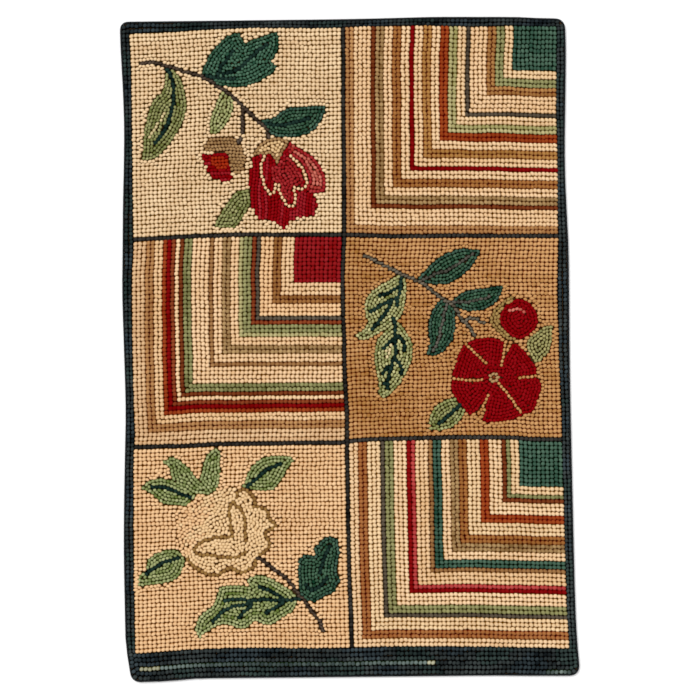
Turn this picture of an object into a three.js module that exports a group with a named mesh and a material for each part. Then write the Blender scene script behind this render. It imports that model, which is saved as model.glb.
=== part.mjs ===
// A hand-hooked wool rug lying flat on a floor. The hooked cloth, its backing and its loops
// together, is one solid. Four lengths of cotton binding run round its edge.
// Millimetres, +Z up, +Y along the rug, origin at the middle of its underside.

import * as THREE from "three";

// The rectangle that the four edges wander about.
const NOMINAL_WIDTH = 614;
const NOMINAL_LENGTH = 914;

// The hooked cloth: how thick the backing and its loops are together, and how its rim rounds over.
const RUG_THICKNESS = 8;
const RIM_ROUNDING = [
  { inward: 0, below_top: 3.2 },
  { inward: 0.7, below_top: 1.5 },
  { inward: 2.0, below_top: 0.4 },
  { inward: 4.4, below_top: 0 },
];

// The cotton binding outside the last row of loops, as the section of its tape:
// inward is the distance in from the rug's outer edge, up the height over the floor.
const BINDING_WIDTH = 2.2;
const BINDING_HEIGHT = 5;
const BINDING_ROUNDING = 0.8;
const BINDING_SECTION = [
  { inward: BINDING_WIDTH, up: 0 },
  { inward: BINDING_WIDTH, up: BINDING_HEIGHT },
  { inward: BINDING_ROUNDING, up: BINDING_HEIGHT },
  { inward: 0, up: BINDING_HEIGHT - BINDING_ROUNDING },
  { inward: 0, up: 0 },
];

// The gap between neighbouring pieces, and how finely the edges are stepped.
const FIT_GAP = 0.3;
const EDGE_STEP = 26;
const CORNER_STEPS = 4;

// How far each edge stands outside the nominal rectangle, from one corner to the next:
// at is the distance from the middle of the side, towards +X or +Y, and out is outwards.
// The rug was hooked by hand, so no edge is straight. The first and last rows of a table are
// where that edge would reach its corners if they were sharp.
const RIGHT_EDGE = [
  { at: -458, out: 11.0 },
  { at: -436, out: 9.8 },
  { at: -403, out: 7.2 },
  { at: -336, out: 5.2 },
  { at: -203, out: 3.5 },
  { at: -37, out: 1.8 },
  { at: 120, out: 2.1 },
  { at: 179, out: 0.3 },
  { at: 229, out: -1.4 },
  { at: 279, out: -1.6 },
  { at: 345, out: 0.0 },
  { at: 412, out: 1.4 },
  { at: 453.5, out: 0.5 },
];
const TOP_EDGE = [
  { at: -309.5, out: -1.0 },
  { at: -142, out: -1.1 },
  { at: -9, out: -1.0 },
  { at: 57, out: -0.4 },
  { at: 124, out: 0.6 },
  { at: 190, out: -0.1 },
  { at: 240, out: -0.8 },
  { at: 273, out: -2.7 },
  { at: 307.5, out: -3.5 },
];
const LEFT_EDGE = [
  { at: -460, out: -3.5 },
  { at: -429, out: 1.3 },
  { at: -404, out: 4.3 },
  { at: -362, out: 4.9 },
  { at: -279, out: 5.4 },
  { at: -212, out: 4.3 },
  { at: -146, out: 2.4 },
  { at: -80, out: 0.6 },
  { at: 4, out: 2.0 },
  { at: 78, out: 3.4 },
  { at: 137, out: 2.3 },
  { at: 203, out: 1.0 },
  { at: 253, out: -0.7 },
  { at: 311, out: -1.8 },
  { at: 369, out: -0.4 },
  { at: 419, out: 1.8 },
  { at: 456, out: 2.5 },
];
const BOTTOM_EDGE = [
  { at: -303.5, out: 2.8 },
  { at: -269, out: 2.5 },
  { at: -236, out: 0.7 },
  { at: -203, out: -1.3 },
  { at: -60, out: -1.1 },
  { at: 113, out: -0.9 },
  { at: 196, out: -0.7 },
  { at: 246, out: 0.2 },
  { at: 318, out: 1.0 },
];

// The sides in turn, anticlockwise seen from above, each with the rounding of the corner where
// it ends. place turns a table's row into a point, and reverse says that the walk runs from the
// table's last row to its first.
const SIDES = [
  {
    name: "right",
    rows: RIGHT_EDGE,
    reverse: false,
    place: ({ at, out }) => new THREE.Vector2(NOMINAL_WIDTH / 2 + out, at),
    end_rounding: 15,
  },
  {
    name: "top",
    rows: TOP_EDGE,
    reverse: true,
    place: ({ at, out }) => new THREE.Vector2(at, NOMINAL_LENGTH / 2 + out),
    end_rounding: 13,
  },
  {
    name: "left",
    rows: LEFT_EDGE,
    reverse: true,
    place: ({ at, out }) => new THREE.Vector2(-NOMINAL_WIDTH / 2 - out, at),
    end_rounding: 13,
  },
  {
    name: "bottom",
    rows: BOTTOM_EDGE,
    reverse: false,
    place: ({ at, out }) => new THREE.Vector2(at, -NOMINAL_LENGTH / 2 - out),
    end_rounding: 16,
  },
];

const WOOL_LOOPS = new THREE.MeshStandardMaterial({ color: 0xcdae7c, roughness: 0.95, metalness: 0 });
const COTTON_TAPE = new THREE.MeshStandardMaterial({ color: 0x1b1d20, roughness: 0.9, metalness: 0 });

// The smooth line of one side, in the direction of the walk.
function sideCurve({ rows, reverse, place }) {
  const points = rows.map(place);
  return new THREE.SplineCurve(reverse ? points.reverse() : points);
}

// Half of a rounded corner, from the middle of the rounding to the side or the other way.
// corner is the sharp corner, and before and after are where the rounding leaves the two sides.
function halfCorner(before, corner, after, firstHalf) {
  const bend = new THREE.QuadraticBezierCurve(before, corner, after);
  const points = bend.getPoints(2 * CORNER_STEPS);
  return firstHalf ? points.slice(0, CORNER_STEPS + 1) : points.slice(CORNER_STEPS);
}

// The points of the rug's outer edge, one list a side. Each list starts at the middle of one
// rounded corner and ends at the middle of the next, so neighbouring lists share that point.
function outerEdge() {
  const curves = SIDES.map(sideCurve);
  const lengths = curves.map((curve) => curve.getLength());
  return SIDES.map((side, index) => {
    const last = (index + SIDES.length - 1) % SIDES.length;
    const next = (index + 1) % SIDES.length;
    const startRounding = SIDES[last].end_rounding;
    const from = startRounding / lengths[index];
    const to = 1 - side.end_rounding / lengths[index];
    const steps = Math.ceil(lengths[index] / EDGE_STEP);
    const along = [];
    for (let step = 1; step < steps; step += 1) {
      along.push(curves[index].getPointAt(THREE.MathUtils.lerp(from, to, step / steps)));
    }
    const start = halfCorner(
      curves[last].getPointAt(1 - startRounding / lengths[last]),
      curves[index].getPointAt(0),
      curves[index].getPointAt(from),
      false,
    );
    const end = halfCorner(
      curves[index].getPointAt(to),
      curves[index].getPointAt(1),
      curves[next].getPointAt(side.end_rounding / lengths[next]),
      true,
    );
    return [...start, ...along, ...end];
  });
}

// Moves the lists so that the middle of the rug's box lies at the origin.
function centred(lists) {
  const box = new THREE.Box2().setFromPoints(lists.flat());
  const middle = box.getCenter(new THREE.Vector2());
  return lists.map((list) => list.map((point) => point.clone().sub(middle)));
}

// The directions into the rug at each point of a closed outline that runs anticlockwise.
function inwardDirections(outline) {
  const count = outline.length;
  return outline.map((point, index) => {
    const before = outline[(index + count - 1) % count];
    const after = outline[(index + 1) % count];
    const along = after.clone().sub(before).normalize();
    return new THREE.Vector2(-along.y, along.x);
  });
}

// A closed body from rings of points, lowest or first ring first, each ring anticlockwise seen
// from the end that the rings run towards. The two end rings are closed with flat caps.
function bodyFromRings(rings, capPoints) {
  const count = rings[0].length;
  const positions = rings.flat().flatMap((point) => point.toArray());
  const triangles = [];
  for (let ring = 0; ring + 1 < rings.length; ring += 1) {
    for (let side = 0; side < count; side += 1) {
      const a = ring * count + side;
      const b = ring * count + ((side + 1) % count);
      triangles.push(a, b, b + count, a, b + count, a + count);
    }
  }
  const top = (rings.length - 1) * count;
  for (const [a, b, c] of THREE.ShapeUtils.triangulateShape(capPoints, [])) {
    triangles.push(c, b, a, top + a, top + b, top + c);
  }
  const geometry = new THREE.BufferGeometry();
  geometry.setAttribute("position", new THREE.Float32BufferAttribute(positions, 3));
  geometry.setIndex(triangles);
  geometry.computeVertexNormals();
  return geometry;
}

// The hooked cloth inside the binding: straight sides, then the rounded rim of the loops.
function rugGeometry(outline, inward) {
  const ringAt = (inset, height) =>
    outline.map((point, index) => {
      const moved = point.clone().addScaledVector(inward[index], inset);
      return new THREE.Vector3(moved.x, moved.y, height);
    });
  const sideInset = BINDING_WIDTH + FIT_GAP;
  const rings = [ringAt(sideInset, 0)];
  for (const step of RIM_ROUNDING) {
    rings.push(ringAt(sideInset + step.inward, RUG_THICKNESS - step.below_top));
  }
  return bodyFromRings(rings, outline);
}

// One length of binding, from one corner's middle to the next, square to the edge all along.
// Half of the gap between two lengths is left free at each end.
function bindingGeometry(list, outline, inward, firstIndex) {
  const count = outline.length;
  const path = list.map((point, index) => ({
    point: point.clone(),
    inward: inward[(firstIndex + index) % count],
  }));
  const shorten = (end, neighbour) => {
    const along = neighbour.point.clone().sub(end.point).normalize();
    end.point.addScaledVector(along, FIT_GAP / 2);
  };
  shorten(path[0], path[1]);
  shorten(path[path.length - 1], path[path.length - 2]);
  const rings = path.map((step) =>
    BINDING_SECTION.map(({ inward: inset, up }) => {
      const moved = step.point.clone().addScaledVector(step.inward, inset);
      return new THREE.Vector3(moved.x, moved.y, up);
    }),
  );
  const cap = BINDING_SECTION.map(({ inward: inset, up }) => new THREE.Vector2(inset, up));
  return bodyFromRings(rings, cap);
}

function namedMesh(name, geometry, material) {
  const mesh = new THREE.Mesh(geometry, material.clone());
  mesh.name = name;
  return mesh;
}

const edgeLists = centred(outerEdge());
const outline = edgeLists.flatMap((list) => list.slice(0, -1));
const inward = inwardDirections(outline);

const part = new THREE.Group();
part.add(namedMesh("rug", rugGeometry(outline, inward), WOOL_LOOPS));
let firstIndex = 0;
SIDES.forEach((side, index) => {
  const list = edgeLists[index];
  const geometry = bindingGeometry(list, outline, inward, firstIndex);
  part.add(namedMesh(`binding_${side.name}`, geometry, COTTON_TAPE));
  firstIndex += list.length - 1;
});

export default part;
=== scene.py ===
"""Looks of a small hooked wool rug that lies flat: each hooked loop of the pile, the backing cloth and the
edge tape. Working sizes are millimetres in the plan of the frame, x to the right and y up the rug."""
import math

import bpy
import numpy as np
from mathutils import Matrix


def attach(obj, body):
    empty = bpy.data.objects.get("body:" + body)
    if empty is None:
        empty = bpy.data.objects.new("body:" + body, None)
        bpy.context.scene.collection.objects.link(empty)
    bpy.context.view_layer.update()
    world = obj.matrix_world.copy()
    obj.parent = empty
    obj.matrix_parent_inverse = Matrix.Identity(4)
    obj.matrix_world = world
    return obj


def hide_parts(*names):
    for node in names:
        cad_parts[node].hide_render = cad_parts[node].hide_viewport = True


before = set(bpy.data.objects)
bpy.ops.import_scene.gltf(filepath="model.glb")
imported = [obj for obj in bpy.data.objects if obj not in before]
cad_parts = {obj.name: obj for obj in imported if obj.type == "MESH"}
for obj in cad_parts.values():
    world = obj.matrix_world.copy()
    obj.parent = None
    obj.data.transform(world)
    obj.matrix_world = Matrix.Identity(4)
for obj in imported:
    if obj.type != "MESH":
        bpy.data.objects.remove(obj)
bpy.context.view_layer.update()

MM = 0.001
PITCH = 5.8  # from one loop to the next in a plain ground
ROW_PITCH = 4.6  # between the closer rows that follow a leaf or a petal
ALONG_PITCH = 5.1  # between the loops of such a row
PILE_FOOT = 2.1  # the loops start just inside the backing cloth
PILE_TOP = 7.55
BACKING_TOP = 2.4
EASED_PITCH = 4.9  # loops near a flower or leaf are pushed apart up to this
OVERLAP = 1.04  # neighbours in a row press into each other
DIVIDER = 5.8  # width of the single dark rows between the blocks
STEM_PITCH = 4.7  # between the loops of a stem
BEAD_PITCH = 5.2  # between the beads that part the petals of the rose
SIDE_ROWS, SIDE_LOOPS = 2, 147  # dark rows at each side, and loops along them
TOP_LOOPS = 106
FOOT_ROWS, FOOT_LOOPS = 6, 107
DIVIDER_LOOPS, CROSS_LOOPS = 148, 50  # along the long divider, and along each arm of the short ones
CORNER_HEIGHT = 435  # up the rug, where its sides start to round into the top

# Layout of the rug: lines that waver, in plan


def line(*pairs):
    """A wavering line of the layout, given as (place along it, distance across) pairs."""
    along, across = np.array(sorted(pairs), float).T
    return lambda t: np.interp(t, along, across)


def moved(edge, by):
    """The same line, moved sideways."""
    return lambda t: edge(t) + by


middle = line(
    (445, -2.4), (383, -2.9), (309, -3.5), (234, -3.6), (159, -4.5), (109, -6.8), (59, -7.0), (10, -6.2),
    (-40, -5.6), (-90, -3.1), (-140, -3.5), (-240, -3.4), (-315, -2.6), (-365, -1.0), (-410, -0.3),
)
upper_cross = line(
    (-298, 154.5), (-259, 156.6), (-204, 158.8), (-148, 160), (-93, 159), (-38, 158.5), (7, 157.7),
    (62, 155.3), (145, 155.2), (228, 154), (291, 153.2),
)
lower_cross = line(
    (-298, -133), (-235, -132.4), (-180, -129.8), (-96, -129.8), (-13, -130), (9, -127), (37, -125.8),
    (92, -125), (147, -124.3), (203, -125.3), (231, -126), (258, -128.8), (290, -129),
)
inner_left = line(
    (440, -298.5), (395, -296.5), (307, -296.6), (196, -296.3), (151, -296), (107, -298.8), (41, -299.4),
    (-48, -299), (-92, -298), (-115, -296.8), (-137, -299.4), (-225, -300.4), (-314, -301), (-403, -300.3),
)
inner_right = line(
    (433, 293.6), (366, 292), (322, 291.8), (278, 292.4), (189, 292.2), (145, 292), (78, 290), (12, 291),
    (-55, 292.6), (-121, 294.4), (-210, 295.5), (-299, 297.2), (-365, 298), (-387, 300), (-415, 300.8),
)
inner_top = line(
    (-293, 440), (-245, 441.5), (-200, 444), (-134, 446.5), (-68, 445.5), (-23, 445), (21, 446.5),
    (110, 446.9), (176, 444.3), (220, 445), (290, 443.5),
)
inner_bottom = line(
    (-294, -418.6), (-250, -416), (-205, -413.4), (-139, -412.6), (-50, -414.3), (17, -414), (61, -413.2),
    (127, -413.9), (194, -415.4), (260, -417.2), (295, -418.8),
)


STILL = ((0, 0), (1, 0))  # not drawn anywhere


def pulled(sideways, upwards, growing, leaning=STILL):
    """How the cloth of a block is drawn out of square, from (share of the block, mm) pairs."""
    return lambda u, v: (
        line(*sideways)(u) + line(*leaning)(v) * np.clip(9 * u * (1 - u), 0, 1),
        line(*upwards)(v) * line(*growing)(u),
    )


even = pulled(STILL, STILL, STILL)
upper_pull = pulled(
    (
        (0, 0), (0.09, 0), (0.24, 0.5), (0.31, 1.2), (0.39, 1.7), (0.54, 2.4), (0.69, 2.9), (0.8, 3.2),
        (0.86, 3), (1, 0),
    ),
    ((0, 0), (0.06, -2.6), (0.3, -2.8), (0.45, -3.4), (0.6, -3.9), (0.75, -3.7), (0.87, -3), (1, 0)),
    ((0.25, 0), (0.48, 0.25), (0.67, 0.45), (0.85, 0.85), (0.95, 1)),
    ((0, 0), (0.87, 0), (0.94, 1.3), (1, 1.5)),
)
middle_pull = pulled(
    STILL,
    ((0, 0), (0.08, 0.8), (0.16, 1.8), (0.24, 2.1), (0.42, 0), (1, 0)),
    ((0, 0), (0.12, 0.3), (0.28, 1), (0.44, 0), (1, 0)),
)
lower_pull = pulled(
    ((0, 0), (0.08, 0.6), (0.3, 1.2), (0.42, 1.3), (0.5, 0.8), (0.6, 0.2), (1, 0)),
    STILL,
    STILL,
)


def foot_outline():
    """The foot of the rug's solid, in order round the middle: the line that the edge tape lies along."""
    mesh = bpy.data.objects["rug"].data
    ring = {(round(v.co.x / MM, 3), round(v.co.y / MM, 3)) for v in mesh.vertices if v.co.z < 0.1 * MM}
    return np.array(sorted(ring, key=lambda p: math.atan2(p[1], p[0])))


foot = foot_outline()


def crossing(axis, side):
    """How far out the foot outline lies at a place, on one side of the rug."""
    start, end = foot, np.roll(foot, -1, axis=0)

    def edge(t):
        t = np.asarray(t, float)
        low = np.minimum(start[:, axis], end[:, axis])
        high = np.maximum(start[:, axis], end[:, axis])
        # places past the ends of the rug take the last place but half a millimetre
        flat = np.clip(t.ravel()[:, None], foot[:, axis].min() + 0.5, foot[:, axis].max() - 0.5)
        run = end[:, axis] - start[:, axis]
        share = (flat - start[:, axis]) / np.where(run == 0, 1, run)
        out = start[:, 1 - axis] + share * (end[:, 1 - axis] - start[:, 1 - axis])
        out = np.where((flat >= low) & (flat <= high), out, np.nan)
        return (np.nanmax(out, 1) if side > 0 else np.nanmin(out, 1)).reshape(t.shape)

    return edge


outer_left, outer_right = crossing(1, -1), crossing(1, 1)
outer_bottom, outer_top = crossing(0, -1), crossing(0, 1)

# Yarns, and how a material is made


def linear(code):
    """A colour given as an sRGB hex value, as linear light."""
    parts = [int(code[i : i + 2], 16) / 255 for i in (0, 2, 4)]
    return [c / 12.92 if c <= 0.04045 else ((c + 0.055) / 1.055) ** 2.4 for c in parts] + [1.0]


def add(tree, kind, settings=None, inputs=None):
    """Adds a node with its settings, and sets or links its inputs."""
    new = tree.nodes.new("ShaderNode" + kind)
    for key, value in (settings or {}).items():
        setattr(new, key, value)
    for key, value in (inputs or {}).items():
        if isinstance(value, bpy.types.NodeSocket):
            tree.links.new(value, new.inputs[key])
        else:
            new.inputs[key].default_value = value
    return new


# Painted shade between the loops, as light lost of 255: a fixed part, and a share of the dye's own lightness
LOST = 54
LOST_SHARE = 0.37


def painted_shade(code):
    """Painted shade: the dye darker and fuller down between the loops, standing in for the light that has
    gone from yarn to yarn.
    """
    parts = [int(code[i : i + 2], 16) for i in (0, 2, 4)]
    most, least = max(parts), min(parts)
    loss = LOST + LOST_SHARE * sum(parts) / 3
    # in the painted shade, blue is lost the most, and the strongest of the three the least where the dye is
    # full
    shares = [1.0, 1.0, 1.25]
    shares[parts.index(most)] = 0.97 - 0.9 * ((most - least) / most) ** 3
    parts = [max(0, (c - loss * share) * (1 + 0.25 * c / 255)) for c, share in zip(parts, shares)]
    return linear("%02x%02x%02x" % tuple(round(c) for c in parts))


def blank(name):
    """A new material with an empty node tree."""
    material = bpy.data.materials.new(name)
    material.use_nodes = True
    material.node_tree.nodes.clear()
    return material, material.node_tree


FIBRE = 0.8  # mm: wool fibres are far finer, and are drawn as coarse as they need to show
PLY = 1.9  # mm from one strand of the twisted yarn to the next


def wool(name, deep, light):
    """Dyed wool yarn, plied and hooked: dull and softly fuzzy, with each loop a shade apart, and painted
    shade down its sides towards the foot.
    """
    material, tree = blank(name)
    tone = add(tree, "Attribute", {"attribute_name": "tone"})
    spot = add(tree, "Attribute", {"attribute_name": "on_loop"})
    parts = add(tree, "SeparateXYZ", None, {0: spot.outputs["Vector"]})
    place = add(tree, "TexCoord").outputs["Object"]
    coarse = {"Vector": place, "Scale": 1 / (FIBRE * MM), "Detail": 3.0, "Roughness": 0.6}
    fibre = add(tree, "TexNoise", None, coarse).outputs["Fac"]
    across = add(tree, "Math", {"operation": "ADD"}, {0: parts.outputs[0], 1: parts.outputs[1]})
    turns = add(tree, "Math", {"operation": "MULTIPLY"}, {0: across.outputs[0], 1: 2 * math.pi / PLY})
    ply = add(tree, "Math", {"operation": "SINE"}, {0: turns.outputs[0]}).outputs[0]
    tinted = add(tree, "Math", {"operation": "MULTIPLY_ADD"}, {0: fibre, 1: 0.5, 2: -0.25})
    toned = add(tree, "Math", {"operation": "ADD"}, {0: tone.outputs["Fac"], 1: tinted.outputs[0]})
    clamped = {"operation": "MULTIPLY_ADD", "use_clamp": True}
    # painted shade: the twist moves the tone a little, lighter on the strands and darker in the grooves
    # between them
    plied = add(tree, "Math", clamped, {0: ply, 1: 0.08, 2: toned.outputs[0]}).outputs[0]
    colour = add(tree, "Mix", {"data_type": "RGBA"}, {0: plied, 6: linear(deep), 7: linear(light)})
    # painted shade: low on each loop the colour is the dye's painted shade, and it turns to full colour
    # towards the crown
    crown = {0: parts.outputs[2], 1: 0.56, 2: 1.0, 3: 0.0, 4: 1.0}
    out_of_painted_shade = add(tree, "MapRange", {"interpolation_type": "SMOOTHSTEP"}, crown).outputs[0]
    body = add(tree, "Mix", {"data_type": "RGBA"}, {0: out_of_painted_shade, 6: painted_shade(light), 7: colour.outputs[2]})
    relief = add(tree, "Math", {"operation": "MULTIPLY_ADD"}, {0: ply, 1: 0.5, 2: fibre})
    bump = add(tree, "Bump", None, {"Strength": 0.5, "Distance": 0.25 * MM, "Height": relief.outputs[0]})
    finish = {
        "Base Color": body.outputs[2],
        "Normal": bump.outputs[0],
        "Roughness": 0.95,
        "Specular IOR Level": 0.01,
        "Sheen Weight": 0.01,
        "Sheen Roughness": 0.5,
        "Sheen Tint": linear(light),
    }
    surface = add(tree, "BsdfPrincipled", None, finish)
    add(tree, "OutputMaterial", None, {0: surface.outputs[0]})
    return material


# Deep and light end of each dye lot
YARNS = {
    "cream": ("d6b48a", "efd3ab"),
    "warm_cream": ("d9b080", "edcba2"),
    "yellow_cream": ("d6b388", "eecfa3"),
    "pink_cream": ("dab387", "f1d1a8"),
    "peach_cream": ("d5a979", "f0ca9c"),
    "rose_white": ("d6b282", "f1d1a4"),
    "white_cream": ("d8ae84", "f0cda2"),
    "tan_ground": ("9b6c34", "ce9f6a"),
    "ochre": ("94673a", "b98b59"),
    "ochre_rust": ("8e5528", "ac7444"),
    "ochre_brown": ("865a2c", "b4844e"),
    "brown": ("5a260c", "7e4222"),
    "rust_brown": ("6c2c12", "8e4828"),
    "khaki": ("745630", "bd9d6d"),
    "tan_brown": ("815021", "a6713d"),
    "tan": ("845c34", "a57c4e"),
    "dark_red": ("640000", "861012"),
    "rust": ("7b2d0d", "9e4c23"),
    "rust_red": ("7e1c0a", "a03414"),
    "light_sage": ("948e57", "bdb382"),
    "charcoal": ("3e352a", "625747"),
    "grey": ("40382d", "665b4c"),
    "sage": ("66663c", "a19e6c"),
    "forest": ("1c3e31", "56715f"),
    "crimson": ("7a0404", "932226"),
    "light_crimson": ("8c2222", "ba4c48"),
    "border_charcoal": ("101517", "424948"),
    "border_slate": ("0f1518", "404b4f"),
    "border_bottle": ("0e1617", "3c4a46"),
    "streak_pale": ("8c8c74", "b9b79c"),
    "streak_slate": ("2a3436", "7c8a84"),
    "divider_dark": ("14120f", "403c37"),
    "stem_brown": ("34281e", "5e5044"),
    "stem_grey": ("3e382b", "6f6657"),
    "leaf_sage": ("58622d", "acaa76"),
    "leaf_pale": ("788048", "b2b27e"),
    "leaf_light": ("626c3c", "c6c28c"),
    "leaf_dark": ("103022", "516c5c"),
    "leaf_teal": ("0e3322", "527059"),
    "leaf_vein": ("0c1c18", "243a32"),
    "rose_deep": ("720004", "8c0e16"),
    "rose_mid": ("841214", "a63436"),
    "rose_light": ("962a26", "da8874"),
    "khaki_green": ("7e6638", "b09258"),
    "leaf_mist": ("76764a", "b0a870"),
    "rib_grey": ("3a3a32", "666258"),
    "petal_line": ("74542c", "a07e48"),
    "petal_gap": ("a8743f", "d4a46c"),
    "leaf_cream": ("c0b084", "e2d2a4"),
    "cap_cream": ("c8a676", "eccc9c"),
    "calyx": ("806038", "b08e62"),
    "leaf_bright": ("153a2a", "597b65"),
    "leaf_green": ("5a6a30", "b0b482"),
    "rose_row": ("7a0610", "a02830"),
    "ochre_dark": ("72481e", "9d6e3d"),
    "dull_peach": ("c49b70", "e6c398"),
    "ochre_gold": ("90632e", "b6874c"),
}
yarn_names = list(YARNS)
yarn_materials = {}


def yarn(name):
    """A yarn's place in the list of yarns."""
    return yarn_names.index(name)


# Loops on plain and striped grounds

# Middle, way of its row, half length and half width, slant, height, shade, and how far the crown leans
LOOP_PARTS = ("x", "y", "way_x", "way_y", "along", "across", "slant", "top", "tone", "lean_x", "lean_y")
LOOP = np.dtype([(part, float) for part in LOOP_PARTS] + [("yarn", int)])
# How much the loops of a ground differ: their place as a share of a cell, then turn, slant and shade
STRAY = 0.035
DRIFT = 0.07  # from one row to the next
WAVER = 0.09
TURN_STRAY = 0.05
SLANT_STRAY = 0.1
ROW_SHADE = 0.07
LOOP_SHADE = 0.11
PATCH_SHADE = 0.14
MIDDLE_SHADE = 0.55  # of a dye lot, from its deep end to its light one
CROWN_STRAY = 0.25  # mm that a crown stands lower or leans
EVENNESS = 0.6  # share of a loop's size that it has in common with its whole block


WAVES = 5  # in one field


def waves(x, y, seed, short, long):
    """A smooth field from about -1 to 1, made of long waves, for drifting rows and patches of dye."""
    rng = np.random.default_rng(seed)
    total = np.zeros_like(np.asarray(x, float))
    for _ in range(WAVES):
        turn = rng.uniform(0, math.pi)
        length = rng.uniform(short, long)
        forward = x * math.cos(turn) + y * math.sin(turn)
        total = total + np.sin(2 * math.pi * forward / length + rng.uniform(0, 2 * math.pi))
    return total / WAVES**0.5 / 1.2


def between(left, right, bottom, top, u, v):
    """Plan places at shares u and v across a block whose four sides waver."""
    x = np.zeros_like(u)
    y = np.full_like(u, float(np.mean(bottom(0.0)) + np.mean(top(0.0))) / 2)
    # the sides waver, so x and y are found from each other, closer each time
    for _ in range(12):
        x = left(y) + u * (right(y) - left(y))
        y = bottom(x) + v * (top(x) - bottom(x))
    return x, y


def grid(sides, columns, rows, seed, upright=None, slant=0.1, pull=even, press=1.0, snug=1.04):
    """Loops in columns and rows across a block. upright says which lie in rows that run up the rug."""
    rng = np.random.default_rng(seed)
    row, column = np.mgrid[0:rows, 0:columns]
    upright = np.zeros((rows, columns), bool) if upright is None else upright
    u = (column + 0.5) / columns
    v = (row + 0.5) / rows
    # 1 in the middle of the block, and 0 at its sides, where the rows stay on their lines
    middle_u = np.clip(12 * u * (1 - u), 0, 1)
    middle_v = np.clip(12 * v * (1 - v), 0, 1)
    row_drift = np.zeros(rows)
    column_drift = np.zeros(columns)
    for drifts in (row_drift, column_drift):
        for i in range(1, len(drifts)):
            drifts[i] = 0.75 * drifts[i - 1] + rng.normal(0, DRIFT)
    shift_u = np.where(upright, 0, row_drift[:, None]) * middle_u + rng.normal(0, STRAY, u.shape)
    shift_v = np.where(upright, column_drift[None, :], 0) * middle_v + rng.normal(0, STRAY, u.shape)
    x, y = between(*sides, u, v)
    swing = np.minimum(middle_u, middle_v)
    shift_u = shift_u + WAVER * swing * waves(x, y, seed + 1, 50, 140)
    shift_v = shift_v + WAVER * swing * waves(x, y, seed + 2, 50, 140)
    x, y = between(*sides, u + shift_u / columns, v + shift_v / rows)
    pull_x, pull_y = pull(u, v)
    x, y = x + pull_x, y + pull_y
    wide = np.gradient(x, axis=1) if columns > 1 else np.full_like(x, DIVIDER)
    high = np.gradient(y, axis=0) if rows > 1 else np.full_like(x, DIVIDER)
    slope_x = np.gradient(y, axis=1) if columns > 1 else np.zeros_like(x)
    loops = np.zeros(x.shape, LOOP)
    loops["x"], loops["y"] = x, y
    tilt = np.arctan2(slope_x, wide) * 0.5 + rng.normal(0, TURN_STRAY, x.shape)
    turn = np.where(upright, math.pi / 2 + tilt, tilt)
    loops["way_x"], loops["way_y"] = np.cos(turn), np.sin(turn)
    # the loops are more even in size than the room between their middles
    even_wide = np.abs(wide).mean() * EVENNESS + np.abs(wide) * (1 - EVENNESS)
    even_high = np.abs(high).mean() * EVENNESS + np.abs(high) * (1 - EVENNESS)
    loops["along"] = np.where(upright, even_high, even_wide) / 2 * snug
    loops["across"] = np.where(upright, even_wide, even_high) / 2 * press
    column_tone, row_tone = rng.normal(0, ROW_SHADE, columns), rng.normal(0, ROW_SHADE, rows)
    tone = np.where(upright, column_tone[None, :], row_tone[:, None]) + MIDDLE_SHADE
    loops["tone"] = tone + rng.normal(0, LOOP_SHADE, x.shape) + PATCH_SHADE * waves(x, y, seed + 3, 50, 160)
    loops["top"] = PILE_TOP - CROWN_STRAY * np.abs(rng.normal(0, 1, x.shape))
    loops["slant"] = slant * np.where(upright, -1, 1) + rng.normal(0, SLANT_STRAY, x.shape)
    loops["lean_x"], loops["lean_y"] = rng.normal(0, CROWN_STRAY, (2,) + x.shape)
    return loops


def stripes(sides, columns, rows, bands, square, seed, slant, pull):
    """A block of L-shaped stripes that nest into a square in its upper right corner."""
    row, column = np.mgrid[0:rows, 0:columns]
    ring = np.minimum(row, column)
    total = sum(width for _, width in bands)
    in_square = ring >= total
    loops = grid(sides, columns, rows, seed, (column < row) | in_square, slant, pull)
    dyes = np.concatenate([[yarn(name)] * width for name, width in bands + [(square, columns + rows)]])
    loops["yarn"] = dyes[ring]
    rng = np.random.default_rng(seed + 9)
    loops["tone"] += rng.normal(0, ROW_SHADE, total + columns + rows)[ring]
    loops["across"][loops["yarn"] == yarn("forest")] *= 0.95
    loops["along"][loops["yarn"] == yarn("forest")] *= 0.96
    return loops.ravel()


half = DIVIDER / 2
left_column = (inner_left, moved(middle, -half))
right_column = (moved(middle, half), inner_right)
top_blocks = (moved(upper_cross, half), inner_top)
middle_blocks = (moved(lower_cross, half), moved(upper_cross, -half))
bottom_blocks = (inner_bottom, moved(lower_cross, -half))

TOP_STRIPES = [
    ("ochre", 2), ("warm_cream", 4), ("brown", 1), ("khaki", 2), ("warm_cream", 2), ("tan_brown", 2),
    ("pink_cream", 2), ("dark_red", 1), ("warm_cream", 2), ("ochre_gold", 2), ("pink_cream", 2),
    ("rust", 2), ("light_sage", 2), ("yellow_cream", 2), ("charcoal", 1), ("warm_cream", 4),
    ("ochre_brown", 2), ("sage", 2), ("yellow_cream", 2),
]
MIDDLE_STRIPES = [
    ("dull_peach", 3), ("ochre", 2), ("warm_cream", 2), ("rust", 1), ("dark_red", 1), ("rust_brown", 1),
    ("pink_cream", 1), ("brown", 1), ("sage", 2), ("warm_cream", 4), ("tan", 1), ("warm_cream", 2),
    ("khaki", 2), ("warm_cream", 2), ("light_sage", 1), ("sage", 2), ("rust_brown", 1), ("grey", 1),
    ("peach_cream", 3), ("ochre_dark", 2), ("warm_cream", 3),
]
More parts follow.
